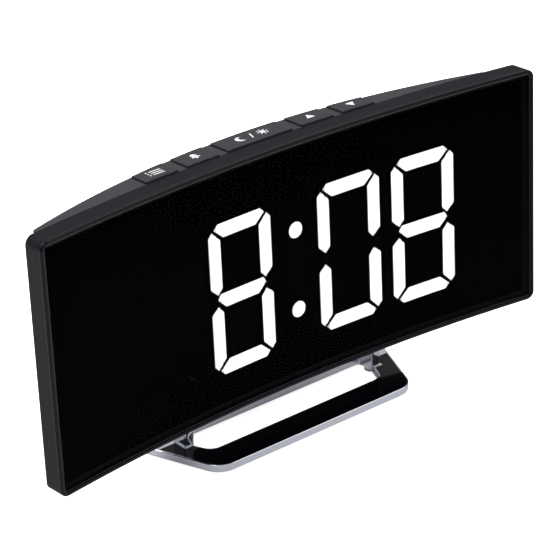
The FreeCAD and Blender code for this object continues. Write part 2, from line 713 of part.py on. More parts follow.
def make_rear_cover():
    """Back shell: spigot in the bezel, thin back plate, bulging housing and its openings."""
    spigot_corner = BEZEL_CORNER - BEZEL_WALL
    spigot = curved_panel(SPIGOT_FRONT, BEZEL_DEPTH, SPIGOT_HALF_W, SPIGOT_HALF_H, spigot_corner)
    plate_w = HALF_W - BACK_PLATE_INSET
    plate_h = HALF_H - BACK_PLATE_INSET
    plate_corner = BEZEL_CORNER - BACK_PLATE_INSET
    plate = curved_panel(BEZEL_DEPTH, BEZEL_DEPTH + BACK_PLATE, plate_w, plate_h, plate_corner)
    bulge = between(
        HOUSING_X - REAR_HALF_WIDTH,
        HOUSING_X + REAR_HALF_WIDTH,
        lambda x: front_y(x, BEZEL_DEPTH),
        lambda x: rear_y(x, 0),
        -HALF_H,
        HALF_H,
    )
    back_edges = []
    for edge in bulge.Edges:
        places = [vertex.Point for vertex in edge.Vertexes]
        same_z = abs(places[0].z - places[1].z) < 0.01
        if same_z and all(abs(p.y - rear_y(p.x, 0)) < 0.01 for p in places):
            back_edges.append(edge)
    bulge = bulge.makeChamfer(REAR_EDGE_BEVEL, back_edges)
    shell = bulge.fuse([plate, spigot]).removeSplitter()
    neck = between(
        HOUSING_X - CAVITY_HALF_WIDTH,
        HOUSING_X + CAVITY_HALF_WIDTH,
        lambda x: front_y(x, SPIGOT_FRONT - 1),
        lambda x: rear_y(x, COVER_WALL),
        -SPIGOT_HALF_H + SPIGOT_WALL,
        SPIGOT_HALF_H - SPIGOT_WALL,
    )
    room = between(
        HOUSING_X - CAVITY_HALF_WIDTH,
        HOUSING_X + CAVITY_HALF_WIDTH,
        lambda x: front_y(x, BEZEL_DEPTH + FIT),
        lambda x: rear_y(x, COVER_WALL),
        -ROOF_Z,
        ROOF_Z,
    )
    shell = shell.cut([neck, room])

    inner = between(
        HOUSING_X - CAVITY_HALF_WIDTH - 1,
        HOUSING_X + CAVITY_HALF_WIDTH + 1,
        lambda x: front_y(x, SPIGOT_FRONT),
        lambda x: rear_y(x, COVER_WALL / 2),
        -HALF_H + COVER_ROOF / 2,
        HALF_H - COVER_ROOF / 2,
    )
    left, right, bottom, top = display_span()
    from_left, from_right, from_edge = SUPPORT_INSETS
    supports = [door_rails()]
    for x in (left + from_left, right - from_right):
        for z in (bottom + from_edge, top - from_edge):
            supports.append(rod_y(x, z, SUPPORT_DIAMETER, BOARD_BACK, HALF_H).common(inner))
    spans = button_spans()
    shelf_top = SWITCH_BOARD_TOP - SWITCH_BOARD_THICK
    half = SHELF_SIZE / 2
    for x in (spans[0][1] + half, spans[-1][2] - half):
        shelf = box(x - half, x + half, BOARD_BACK, HALF_H, shelf_top - SHELF_HEIGHT, shelf_top)
        supports.append(shelf.common(inner))
    half = SCREW_BLOCK_WIDTH / 2
    block_top = -HALF_H + STAND_SCREW_BITE + SCREW_BLOCK_ROOF
    for x, y in stand_screw_places():
        behind_bezel = front_y(abs(x) - half, BEZEL_DEPTH + 2 * FIT)
        block = box(x - half, x + half, behind_bezel, HALF_H, -HALF_H, block_top)
        supports.append(block.common(inner))
    shell = shell.fuse(supports)

    cuts = door_cuts()
    for name, left, right in spans:
        for rear_inset, floor in ((COVER_WALL, ROOF_Z - 0.05), (BUTTON_REAR_WALL, ROOF_Z)):
            cuts.append(
                between(
                    left,
                    right,
                    lambda x: front_y(x, BEZEL_DEPTH - 1),
                    lambda x: rear_y(x, rear_inset),
                    floor,
                    HALF_H + 1,
                )
            )
    half_w = SOCKET_WIDTH / 2 + SOCKET_MOUTH_GAP
    half_h = SOCKET_HEIGHT / 2 + SOCKET_MOUTH_GAP
    cuts.append(stadium(SOCKET_X, SOCKET_Z, half_w, half_h, BOARD_BACK, HALF_H))
    cuts += sound_holes(BUZZER_X, BUZZER_Z)
    for x, z in case_screw_places():
        seat = front_y(x, BEZEL_DEPTH) - SEAT_DEPTH
        cuts.append(rod_y(x, z, CASE_SCREW_DIAMETER + FIT, -HALF_H, HALF_H))
        cuts.append(rod_y(x, z, CASE_HEAD_DIAMETER + 2 * FIT, seat, HALF_H))
    return shell.cut(cuts)


def make_case_screws():
    screws = []
    for x, z in case_screw_places():
        seat = front_y(x, BEZEL_DEPTH) - SEAT_DEPTH
        tip = front_y(x, MASK_BACK) + CASE_SCREW_TIP
        shank = rod_y(x, z, CASE_SCREW_DIAMETER, tip, seat + CROSS_DEPTH / 2)
        head = rod_y(x, z, CASE_HEAD_DIAMETER, seat, seat + CASE_HEAD_HEIGHT)
        floor = seat + CASE_HEAD_HEIGHT - CROSS_DEPTH
        top = seat + 2 * CASE_HEAD_HEIGHT
        long = CROSS_HALF_LENGTH
        wide = CROSS_HALF_WIDTH
        cross = box(x - long, x + long, floor, top, z - wide, z + wide)
        upright_cross = box(x - wide, x + wide, floor, top, z - long, z + long)
        screws.append(shank.fuse(head).removeSplitter().cut([cross, upright_cross]))
    return Part.Compound(screws)


# ---------------------------------------------------------------- parts on the board's back


def make_buzzer():
    top = BOARD_BACK + BUZZER_HEIGHT
    diameter, depth = BUZZER_HOLE
    can = rod_y(BUZZER_X, BUZZER_Z, BUZZER_DIAMETER, BOARD_BACK, top)
    return can.cut(rod_y(BUZZER_X, BUZZER_Z, diameter, top - depth, HALF_H))


def make_chip(place, size):
    """A flat black package with a row of pins down each side, as one solid."""
    x, z = place
    width, height, thick = size
    under = BOARD_BACK + CHIP_LIFT
    body = box(x - width / 2, x + width / 2, under, under + thick, z - height / 2, z + height / 2)
    pins = []
    count = int(height / PIN_PITCH)
    for i in range(count):
        pin_z = z + (i - (count - 1) / 2) * PIN_PITCH
        low = pin_z - PIN_WIDTH / 2
        high = pin_z + PIN_WIDTH / 2
        for x0, x1 in ((-width / 2 - PIN_OUT, -width / 2), (width / 2, width / 2 + PIN_OUT)):
            pins.append(box(x + x0, x + x1, BOARD_BACK, BOARD_BACK + PIN_HEIGHT, low, high))
    return body.fuse(pins).removeSplitter()


def make_crystal():
    x, z = CRYSTAL_PLACE
    return rod_z(x, BOARD_BACK + CRYSTAL_DIAMETER / 2, CRYSTAL_DIAMETER, z, z + CRYSTAL_LENGTH)


def make_capacitors():
    half = CAPACITOR_BASE / 2
    top = BOARD_BACK + CAPACITOR_HEIGHT
    cans = []
    for x, z in CAPACITOR_PLACES:
        base = box(x - half, x + half, BOARD_BACK, BOARD_BACK + CAPACITOR_BASE_THICK, z - half, z + half)
        can = rod_y(x, z, CAPACITOR_DIAMETER, BOARD_BACK + CAPACITOR_BASE_THICK / 2, top)
        cans.append(base.fuse(can).removeSplitter())
    return Part.Compound(cans)


def make_cell():
    bottom = CELL_SEAT + FIT
    can = rod_y(CELL_X, CELL_Z, CELL_DIAMETER, bottom, bottom + CELL_THICK)
    rim = [e for e in can.Edges if e.BoundBox.YMin > bottom + CELL_THICK / 2]
    return can.makeFillet(CELL_EDGE_ROUND, rim)


def make_cell_holder():
    """Open tray with a floor and a round wall, gapped at the top for a finger."""
    rim = CELL_SEAT + CELL_THICK - HOLDER_RIM_DROP
    outer = rod_y(CELL_X, CELL_Z, CELL_DIAMETER + 2 * HOLDER_WALL, BOARD_BACK, rim)
    pit = rod_y(CELL_X, CELL_Z, CELL_DIAMETER + 2 * FIT, CELL_SEAT, HALF_H)
    hole = rod_y(CELL_X, CELL_Z, HOLDER_HOLE, 0, HALF_H)
    left = CELL_X - HOLDER_FINGER / 2
    right = CELL_X + HOLDER_FINGER / 2
    finger = box(left, right, CELL_SEAT, HALF_H, CELL_Z + HOLDER_FINGER_RISE, CELL_Z + CELL_DIAMETER)
    return outer.cut([pit, hole, finger])


def make_cell_contact():
    """Bent steel strip that bears on the cell's outer face from one side."""
    low = CELL_Z - CONTACT_WIDTH / 2
    high = CELL_Z + CONTACT_WIDTH / 2
    under = CELL_SEAT + FIT + CELL_THICK
    over = under + CONTACT_THICK
    root = CELL_X - CELL_DIAMETER / 2 - CONTACT_OUT
    left = root - CONTACT_THICK
    leg = box(left, root, BOARD_BACK, over, low, high)
    arm = box(left, CELL_X - CONTACT_END, under, over, low, high)
    return leg.fuse(arm).removeSplitter()


def stadium(x, z, half_w, half_h, y0, y1):
    radius = half_h - FIT / 2     # a short straight end keeps the corners apart
    corners = [(x + sx * half_w, z + sz * half_h, radius) for sx, sz in ((-1, -1), (1, -1), (1, 1), (-1, 1))]
    return upright(corners, y0, y1)


def socket_mouth():
    return rear_y(SOCKET_X, SOCKET_SUNK)


def make_socket_shell():
    outer = stadium(SOCKET_X, SOCKET_Z, SOCKET_WIDTH / 2, SOCKET_HEIGHT / 2, BOARD_BACK, socket_mouth())
    inner = stadium(
        SOCKET_X,
        SOCKET_Z,
        SOCKET_WIDTH / 2 - SOCKET_WALL,
        SOCKET_HEIGHT / 2 - SOCKET_WALL,
        BOARD_BACK - 1,
        HALF_H,
    )
    return outer.cut(inner)


def make_socket_insert():
    half_w = SOCKET_WIDTH / 2 - SOCKET_WALL - FIT / 2
    half_h = SOCKET_HEIGHT / 2 - SOCKET_WALL - FIT / 2
    base = stadium(SOCKET_X, SOCKET_Z, half_w, half_h, BOARD_BACK, BOARD_BACK + SOCKET_BASE)
    left = SOCKET_X - SOCKET_TONGUE_WIDTH / 2
    right = SOCKET_X + SOCKET_TONGUE_WIDTH / 2
    low = SOCKET_Z - SOCKET_TONGUE_THICK / 2
    high = SOCKET_Z + SOCKET_TONGUE_THICK / 2
    root = BOARD_BACK + SOCKET_BASE / 2
    tongue = box(left, right, root, socket_mouth() - SOCKET_TONGUE_SHORT, low, high)
    return base.fuse(tongue).removeSplitter()


def ribbon_ends():
    """Bottom and top of the ribbon, between its two sockets."""
    board_top = DIGIT_Z + DIGIT_HALF_HEIGHT + DISPLAY_MARGIN
    return board_top - RIBBON_IN, SWITCH_BOARD_TOP - SWITCH_BOARD_THICK - SOCKET_BLOCK_HEIGHT


def make_ribbon():
    low, high = ribbon_ends()
    half = RIBBON_WIDTH / 2
    front = BOARD_BACK + (SOCKET_BLOCK_HEIGHT - RIBBON_THICK) / 2
    return box(BUZZER_X - half, BUZZER_X + half, front, front + RIBBON_THICK, low, high)


def make_ribbon_sockets():
    low, high = ribbon_ends()
    left = BUZZER_X - RIBBON_WIDTH / 2 - SOCKET_BLOCK_SIDE
    right = BUZZER_X + RIBBON_WIDTH / 2 + SOCKET_BLOCK_SIDE
    blocks = []
    for bottom in (low - SOCKET_BLOCK_HEIGHT, high):
        top = bottom + SOCKET_BLOCK_HEIGHT
        blocks.append(box(left, right, BOARD_BACK, BOARD_BACK + SOCKET_BLOCK_HEIGHT, bottom, top))
    return Part.Compound(blocks)


# ---------------------------------------------------------------- stand


def flare():
    return math.atan2(STAND_REAR_HALF_WIDTH - STAND_FRONT_HALF_WIDTH, STAND_DEPTH)


def flat(z):
    return lambda x, y: Vector(x, y, z)


def stand_outline(z):
    front = STAND_FRONT_Y
    back = STAND_FRONT_Y + STAND_DEPTH
    r = STAND_OUTER_ROUND
    corners = [
        (-STAND_FRONT_HALF_WIDTH, front, r),
        (STAND_FRONT_HALF_WIDTH, front, r),
        (STAND_REAR_HALF_WIDTH, back, r),
        (-STAND_REAR_HALF_WIDTH, back, r),
    ]
    return rounded_face(corners, flat(z))


def opening_outline(z):
    """The gap inside the ring: arms parallel to the outside, bars at the front and back."""
    front = STAND_FRONT_Y + STAND_FRONT_BAR
    back = STAND_FRONT_Y + STAND_DEPTH - STAND_REAR_BAR
    arm = STAND_ARM / math.cos(flare())

    def half_at(y):
        return STAND_FRONT_HALF_WIDTH - arm + (y - STAND_FRONT_Y) * math.tan(flare())

    r = STAND_INNER_ROUND
    corners = [
        (-half_at(front), front, r),
        (half_at(front), front, r),
        (half_at(back), back, r * 0.6),
        (-half_at(back), back, r * 0.6),
    ]
    return rounded_face(corners, flat(z))


def post_block(sign, grow, z0, z1):
    """A post's footprint from z0 to z1, larger by grow all round."""
    inner = POST_INNER - grow
    outer = POST_INNER + POST_WIDTH + grow
    low, high = sorted((sign * inner, sign * outer))
    return box(low, high, POST_FRONT_Y - grow, POST_FRONT_Y + POST_DEPTH + grow, z0, z1)


def stand_screw_places():
    x = POST_INNER + POST_WIDTH / 2
    y = POST_FRONT_Y + POST_DEPTH / 2
    return [(-x, y), (x, y)]


def foot_places():
    front = STAND_FRONT_Y + STAND_FRONT_BAR / 2
    back = STAND_FRONT_Y + STAND_DEPTH - STAND_REAR_BAR / 2
    front_x = STAND_FRONT_HALF_WIDTH - STAND_OUTER_ROUND
    back_x = STAND_REAR_HALF_WIDTH - STAND_OUTER_ROUND - REAR_FOOT_INSET
    return [(-front_x, front), (front_x, front), (-back_x, back), (back_x, back)]


def make_inlay(z0, z1, grow):
    """U-shaped strip set in the ring's top; grow is the fit left round it."""
    shape = stand_outline(z0).makeOffset2D(-(STAND_RIM - grow)).extrude(Vector(0, 0, z1 - z0))
    shape = shape.cut(opening_outline(z0).makeOffset2D(STAND_RIM - grow).extrude(Vector(0, 0, z1 - z0)))
    end = STAND_FRONT_Y + INLAY_END + grow
    shape = shape.common(box(-HALF_W, HALF_W, STAND_FRONT_Y, end, z0, z1))
    return shape.cut([post_block(sign, STAND_RIM - grow, z0, z1) for sign in (-1, 1)])


def make_stand():
    """Plated ring with two posts that carry the body."""
    ring = stand_outline(FOOT_PROUD).extrude(Vector(0, 0, STAND_THICK))
    ring = ring.cut(opening_outline(FOOT_PROUD).extrude(Vector(0, 0, STAND_THICK)))
    outer_edges = [
        e
        for e in ring.Edges
        if all(abs(v.Point.z - STAND_TOP) < 0.01 or abs(v.Point.z - FOOT_PROUD) < 0.01 for v in e.Vertexes)
        and e.BoundBox.ZLength < 0.01
    ]
    ring = ring.makeFillet(STAND_EDGE_ROUND, outer_edges)
    below_body = lean_back(box(-HALF_W, HALF_W, -HALF_W, HALF_W, -3 * HALF_H, -HALF_H))
    posts = []
    for sign in (-1, 1):
        post = post_block(sign, 0, FOOT_PROUD + STAND_THICK / 2, STAND_TOP + 2 * POST_HEIGHT)
        post = post.makeFillet(POST_EDGE_ROUND, [e for e in post.Edges if e.BoundBox.ZLength > POST_HEIGHT])
        posts.append(post.common(below_body))
    ring = ring.fuse(posts)
    cuts = [make_inlay(STAND_TOP - INLAY_THICK, STAND_TOP + 0.2, FIT / 2)]
    for x, y in stand_screw_places():
        cuts.append(rod_z(x, y, STAND_SCREW_DIAMETER + FIT, 0, BODY_Z))
        cuts.append(rod_z(x, y, STAND_HEAD_DIAMETER + FIT, 0, FOOT_PROUD + STAND_HEAD_HEIGHT + FIT))
    for x, y in foot_places():
        cuts.append(rod_z(x, y, FOOT_DIAMETER + FIT, 0, FOOT_THICK))
    return ring.cut(cuts)


def make_stand_screws():
    screws = []
    bottom = FOOT_PROUD + FIT
    for x, y in stand_screw_places():
        top = STAND_TOP + POST_HEIGHT + STAND_SCREW_BITE - STAND_SCREW_TIP_GAP
        head = rod_z(x, y, STAND_HEAD_DIAMETER, bottom, bottom + STAND_HEAD_HEIGHT)
        shank = rod_z(x, y, STAND_SCREW_DIAMETER, bottom, top)
        long = STAND_CROSS_HALF_LENGTH
        wide = STAND_CROSS_HALF_WIDTH
        floor = bottom + STAND_CROSS_DEPTH
        cross = box(x - long, x + long, y - wide, y + wide, 0, floor)
        other_cross = box(x - wide, x + wide, y - long, y + long, 0, floor)
        screws.append(head.fuse(shank).removeSplitter().cut([cross, other_cross]))
    return Part.Compound(screws)


def make_feet():
    return Part.Compound([rod_z(x, y, FOOT_DIAMETER, 0, FOOT_THICK) for x, y in foot_places()])


# ---------------------------------------------------------------- build

os.makedirs("parts", exist_ok=True)

display_windows = window_prisms(0)
export_body("front_bezel", make_bezel())
export_body("front_lens", make_lens())
export_body("segment_mask", make_mask(display_windows))
export_body("lit_segments", make_inserts(True))
export_body("dark_segments", make_inserts(False))
export_body("light_box", make_light_box(display_windows))
export_body("display_board", make_display_board())
export_body("display_leds", make_leds())
export_body("board_screws", make_board_screws())

for name, left, right in button_spans():
    export_body(name + "_button", make_button(left, right))
    export_body(name + "_plunger", make_plunger(left, right))
export_body("switch_board", make_switch_board())
export_body("tact_switches", make_switches())

# The stand's screws go straight up, so their holes in the leaning cover are cut where it stands
pilot_top = BODY_Z - HALF_H + STAND_SCREW_BITE
stand_pilots = [rod_z(x, y, STAND_SCREW_DIAMETER + FIT, 0, pilot_top) for x, y in stand_screw_places()]
export("rear_cover", lean_back(make_rear_cover()).cut(stand_pilots))
export_body("case_screws", make_case_screws())
export_body("cell_door", make_door())

export_body("buzzer", make_buzzer())
export_body("controller_chip", make_chip(CONTROLLER_PLACE, CONTROLLER_SIZE))
export_body("driver_chip", make_chip(DRIVER_PLACE, DRIVER_SIZE))
export_body("clock_crystal", make_crystal())
export_body("capacitors", make_capacitors())
export_body("back_up_cell", make_cell())
export_body("cell_holder", make_cell_holder())
export_body("cell_contact", make_cell_contact())
export_body("power_socket_shell", make_socket_shell())
export_body("power_socket_insert", make_socket_insert())
export_body("ribbon_cable", make_ribbon())
export_body("ribbon_sockets", make_ribbon_sockets())

export("stand_base", make_stand())
export("stand_inlay", make_inlay(STAND_TOP - INLAY_THICK, STAND_TOP, 0))
export("stand_screws", make_stand_screws())
export("stand_feet", make_feet())
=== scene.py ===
import json
import math

import bmesh
import bpy
from mathutils import Matrix, Vector


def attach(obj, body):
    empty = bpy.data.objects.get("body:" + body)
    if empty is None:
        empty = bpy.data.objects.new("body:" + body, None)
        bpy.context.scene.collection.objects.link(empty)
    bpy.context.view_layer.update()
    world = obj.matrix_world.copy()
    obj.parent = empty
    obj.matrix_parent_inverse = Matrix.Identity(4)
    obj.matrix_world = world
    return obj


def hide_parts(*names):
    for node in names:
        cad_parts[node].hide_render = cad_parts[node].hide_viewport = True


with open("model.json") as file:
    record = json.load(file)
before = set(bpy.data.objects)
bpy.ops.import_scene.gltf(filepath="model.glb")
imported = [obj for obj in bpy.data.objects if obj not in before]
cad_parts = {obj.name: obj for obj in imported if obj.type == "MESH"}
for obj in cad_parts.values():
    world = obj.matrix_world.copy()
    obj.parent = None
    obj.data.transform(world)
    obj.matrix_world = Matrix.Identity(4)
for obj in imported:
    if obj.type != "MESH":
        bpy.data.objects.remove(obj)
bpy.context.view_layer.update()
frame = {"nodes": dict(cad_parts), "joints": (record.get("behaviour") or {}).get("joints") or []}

# ---------------------------------------------------------------- front bezel
# The bezel is one injection-moulded ABS frame round the front glass. Its sides have the fine
# spark-eroded texture of the mould. The narrow rim that faces the viewer is polished, and its colour
# is painted near black as painted shade.
# It carries the glass in front and four screw bosses behind.

MM = 0.001
LEAN = math.asin(-frame["joints"][0]["axis"][1])
BODY_ORIGIN = Vector((0, -4.5 * MM, 51.608 * MM))
FRONT_RADIUS = 579 * MM


def srgb(code):
    """A hex colour as linear red, green, blue and alpha."""
    parts = [int(code[i : i + 2], 16) / 255 for i in (0, 2, 4)]
    return tuple(c / 12.92 if c <= 0.04045 else ((c + 0.055) / 1.055) ** 2.4 for c in parts) + (1.0,)


def add(tree, kind, settings={}, links={}):
    """Adds a node: settings go to its inputs, or else to its own values, and links to its inputs."""
    made = tree.nodes.new(kind)
    for key, value in settings.items():
        if isinstance(key, int) or key in made.inputs:
            made.inputs[key].default_value = value
        else:
            setattr(made, key, value)
    for key, socket in links.items():
        tree.links.new(socket, made.inputs[key])
    return made


def new_material(name):
    """An empty node material and its tree."""
    material = bpy.data.materials.new(name)
    material.use_nodes = True
    material.node_tree.nodes.clear()
    return material, material.node_tree


def put_out(tree, shader):
    """Joins a shader node's first output to the surface."""
    add(tree, "ShaderNodeOutputMaterial", links={"Surface": shader.outputs[0]})


def dress(material, *names):
    """Gives CAD nodes their finished material."""
    for name in names:
        data = frame["nodes"][name].data
        data.materials.clear()
        data.materials.append(material)


def textured_abs(name, colour, light_colour, grain_mm, roughness, shine):
    """Spark-eroded ABS: an even dark plastic whose fine grain breaks up the highlights."""
    material, tree = new_material(name)
    place = add(tree, "ShaderNodeTexCoord").outputs["Object"]
    grain = add(
        tree,
        "ShaderNodeTexNoise",
        {"Scale": 1 / (grain_mm * MM), "Detail": 2.0, "Roughness": 0.6},
        {"Vector": place},
    )
    mottle = add(tree, "ShaderNodeTexNoise", {"Scale": 1 / (14 * MM), "Detail": 3.0}, {"Vector": place})
    shade = add(
        tree,
        "ShaderNodeMix",
        {"data_type": "RGBA", 6: srgb(colour), 7: srgb(light_colour)},
        {0: mottle.outputs["Fac"]},
    )
    gloss = add(
        tree,
        "ShaderNodeMapRange",
        {"From Min": 0.3, "From Max": 0.7, "To Min": roughness - 0.05, "To Max": roughness + 0.07},
        {"Value": grain.outputs["Fac"]},
    )
    bump = add(
        tree, "ShaderNodeBump", {"Strength": 0.25, "Distance": 0.03 * MM}, {"Height": grain.outputs["Fac"]}
    )
    plastic = add(
        tree,
        "ShaderNodeBsdfPrincipled",
        {"IOR": 1.54, "Specular IOR Level": shine},
        {
            "Base Color": shade.outputs[2],
            "Roughness": gloss.outputs[0],
            "Normal": bump.outputs[0],
        },
    )
    return material, tree, plastic


def depth_behind_front(tree):
    """How far a point lies behind the curved front face, in metres."""
    place = add(tree, "ShaderNodeTexCoord").outputs["Object"]
    shift = -(Matrix.Rotation(LEAN, 3, "X") @ BODY_ORIGIN)
    upright = add(
        tree, "ShaderNodeMapping", {"Location": shift, "Rotation": (LEAN, 0, 0)}, {"Vector": place}
    )
    from_axis = add(
        tree,
        "ShaderNodeVectorMath",
        {"operation": "MULTIPLY_ADD", 1: (1, 1, 0), 2: (0, FRONT_RADIUS, 0)},
        {0: upright.outputs[0]},
    )
    far = add(tree, "ShaderNodeVectorMath", {"operation": "LENGTH"}, {0: from_axis.outputs[0]})
    return add(
        tree, "ShaderNodeMath", {"operation": "SUBTRACT", 1: FRONT_RADIUS}, {0: far.outputs["Value"]}
    ).outputs[0]


bezel_abs, tree, satin = textured_abs("abs_spark_eroded_charcoal", "121216", "17171b", 0.35, 0.46, 0.06)
# The front rim's low roughness is its real polish; its near-black base colour is painted shade.
polished = add(
    tree,
    "ShaderNodeBsdfPrincipled",
    {"Base Color": srgb("050506"), "Roughness": 0.12, "IOR": 1.54, "Specular IOR Level": 0.12},
)
rim_shade_mask = add(
    tree,
    "ShaderNodeMapRange",
    {"From Min": 0.85 * MM, "From Max": 1.0 * MM, "To Min": 1.0, "To Max": 0.0},
    {"Value": depth_behind_front(tree)},
)
put_out(
    tree,
    add(tree, "ShaderNodeMixShader", {}, {0: rim_shade_mask.outputs[0], 1: satin.outputs[0], 2: polished.outputs[0]}),
)
dress(bezel_abs, "front_bezel")

# ---------------------------------------------------------------- front glass
# The glass is a sheet of smoked acrylic, cast flat, cut and warm-formed to the curve, and glued into
# the bezel's seat. It hides the unlit display and shows only strokes that glow behind it. Its front
# is coated against glare. Its bevelled edge shines with its own reflections, and a light grey colour
# on the bevel adds a painted highlight along it.

smoked_acrylic, tree = new_material("smoked_acrylic_polished")
place = add(tree, "ShaderNodeTexCoord").outputs["Object"]
wipe_marks = add(
    tree, "ShaderNodeTexNoise", {"Scale": 1 / (25 * MM), "Detail": 4.0, "Roughness": 0.55}, {"Vector": place}
)
polish = add(
    tree,
    "ShaderNodeMapRange",
    {"From Min": 0.3, "From Max": 0.7, "To Min": 0.03, "To Max": 0.09},
    {"Value": wipe_marks.outputs["Fac"]},
)
acrylic = add(
    tree,
    "ShaderNodeBsdfPrincipled",
    {"Base Color": srgb("020203"), "IOR": 1.49, "Alpha": 0.4, "Specular IOR Level": 0.02},
    {"Roughness": polish.outputs[0]},
)
put_out(tree, acrylic)
dress(smoked_acrylic, "front_lens")

# The bevel's light grey base colour is a painted highlight; its shine on top comes from the shader.
edge_painted_highlight, tree = new_material("acrylic_edge_painted_highlight")
place = add(tree, "ShaderNodeTexCoord").outputs["Object"]
saw_marks = add(tree, "ShaderNodeTexNoise", {"Scale": 1 / (0.5 * MM), "Detail": 2.0}, {"Vector": place})
polish = add(
    tree,
    "ShaderNodeMapRange",
    {"From Min": 0.3, "From Max": 0.7, "To Min": 0.18, "To Max": 0.3},
    {"Value": saw_marks.outputs["Fac"]},
)
edge_shader = add(
    tree,
    "ShaderNodeBsdfPrincipled",
    {"Base Color": srgb("66666c"), "IOR": 1.49},
    {"Roughness": polish.outputs[0]},
)
put_out(tree, edge_shader)

GLASS_HALF_WIDTH = 92.2
GLASS_HALF_HEIGHT = 37.7
GLASS_CORNER = 1.4
GLASS_INSET = 0.4
GLASS_THICK = 1.5
GLASS_BEVEL = 0.25
body_to_world = Matrix.Translation(BODY_ORIGIN) @ Matrix.Rotation(-LEAN, 4, "X") @ Matrix.Scale(MM, 4)

shape = bmesh.new()
bmesh.ops.create_grid(shape, x_segments=120, y_segments=1, size=1.0)
bmesh.ops.scale(shape, vec=(GLASS_HALF_WIDTH, GLASS_HALF_HEIGHT, 1), verts=shape.verts)
bmesh.ops.rotate(shape, cent=(0, 0, 0), matrix=Matrix.Rotation(math.pi / 2, 3, "X"), verts=shape.verts)
corners = [v for v in shape.verts if len(v.link_edges) == 2]
bmesh.ops.bevel(
    shape, geom=corners, affect="VERTICES", offset=GLASS_CORNER, segments=6, profile=0.5, material=-1
)
back = bmesh.ops.extrude_face_region(shape, geom=list(shape.faces), use_keep_orig=True)["geom"]
back_verts = [g for g in back if isinstance(g, bmesh.types.BMVert)]
bmesh.ops.translate(shape, vec=(0, GLASS_THICK, 0), verts=back_verts)
bmesh.ops.recalc_face_normals(shape, faces=shape.faces)
outline = [
    e
    for e in shape.edges
    if abs(e.verts[0].co.y) + abs(e.verts[1].co.y) < 1e-4 and abs(e.calc_face_angle(0)) > 1
]
bevelled = bmesh.ops.bevel(
    shape, geom=outline, affect="EDGES", offset=GLASS_BEVEL, segments=2, profile=0.5, material=-1
)["faces"]
for face in shape.faces:
    face.smooth = True
for face in bevelled:
    face.material_index = 1
for edge in shape.edges:
    edge.smooth = edge.calc_face_angle(0) < 0.5
for v in shape.verts:
    radius = FRONT_RADIUS / MM + GLASS_INSET + v.co.y
    v.co.y = math.sqrt(radius**2 - v.co.x**2) - FRONT_RADIUS / MM
bmesh.ops.transform(shape, matrix=body_to_world, verts=shape.verts)
data = bpy.data.meshes.new("bent_glass")
shape.to_mesh(data)
shape.free()
data.materials.append(smoked_acrylic)
data.materials.append(edge_painted_highlight)
bent_glass = bpy.data.objects.new("bent_glass", data)
bpy.context.scene.collection.objects.link(bent_glass)
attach(bent_glass, "clock")
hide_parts("front_lens")

# ---------------------------------------------------------------- segment mask
# A thin black film plate behind the glass. It is screen printed dense black, so no light comes
# through except at the strokes, and it has no shine of its own.

printed_black, tree = new_material("screen_print_dense_black")
place = add(tree, "ShaderNodeTexCoord").outputs["Object"]
mesh_marks = add(tree, "ShaderNodeTexNoise", {"Scale": 1 / (0.4 * MM), "Detail": 1.0}, {"Vector": place})
ink = add(
    tree,
    "ShaderNodeMix",
    {"data_type": "RGBA", 6: srgb("010101"), 7: srgb("020202")},
    {0: mesh_marks.outputs["Fac"]},
)
matt = add(
    tree,
    "ShaderNodeBsdfPrincipled",
    {"Roughness": 0.8, "Specular IOR Level": 0.0},
    {"Base Color": ink.outputs[2]},
)
put_out(tree, matt)
dress(printed_black, "segment_mask")

# ---------------------------------------------------------------- strokes of the display
# Each stroke is a plug of milky diffuser in the mask. A lamp behind lights it to an even white;
# the unlit ones are painted near black as painted shade, so they can't be told from the mask.

lit_diffuser, tree = new_material("milky_diffuser_lit")
place = add(tree, "ShaderNodeTexCoord").outputs["Object"]
cloud = add(tree, "ShaderNodeTexNoise", {"Scale": 1 / (6 * MM), "Detail": 1.0}, {"Vector": place})
glow = add(
    tree,
    "ShaderNodeMapRange",
    {"From Min": 0.3, "From Max": 0.7, "To Min": 1.66, "To Max": 1.8},
    {"Value": cloud.outputs["Fac"]},
)
put_out(
    tree,
    add(
        tree,
        "ShaderNodeBsdfPrincipled",
        {"Base Color": srgb("f4f4f4"), "Roughness": 0.6, "Emission Color": srgb("ffffff")},
        {"Emission Strength": glow.outputs[0]},
    ),
)
dress(lit_diffuser, "lit_segments")

# The unlit strokes are the same milky diffuser as the lit ones; their near-black colour is painted shade.
dark_diffuser, tree = new_material("diffuser_unlit_painted_shade")
place = add(tree, "ShaderNodeTexCoord").outputs["Object"]
cloud = add(tree, "ShaderNodeTexNoise", {"Scale": 1 / (2 * MM), "Detail": 2.0}, {"Vector": place})
unlit_painted_shade = add(
    tree,
    "ShaderNodeMix",
    {"data_type": "RGBA", 6: srgb("010101"), 7: srgb("020202")},
    {0: cloud.outputs["Fac"]},
)
matt = add(
    tree,
    "ShaderNodeBsdfPrincipled",
    {"Roughness": 0.7, "Specular IOR Level": 0.0},
    {"Base Color": unlit_painted_shade.outputs[2]},
)
put_out(tree, matt)
dress(dark_diffuser, "dark_segments")

# ---------------------------------------------------------------- light box
# A white block with a cell for every stroke, moulded in a glass-filled plastic that throws the
# lamps' light forward and keeps it out of the next cell.

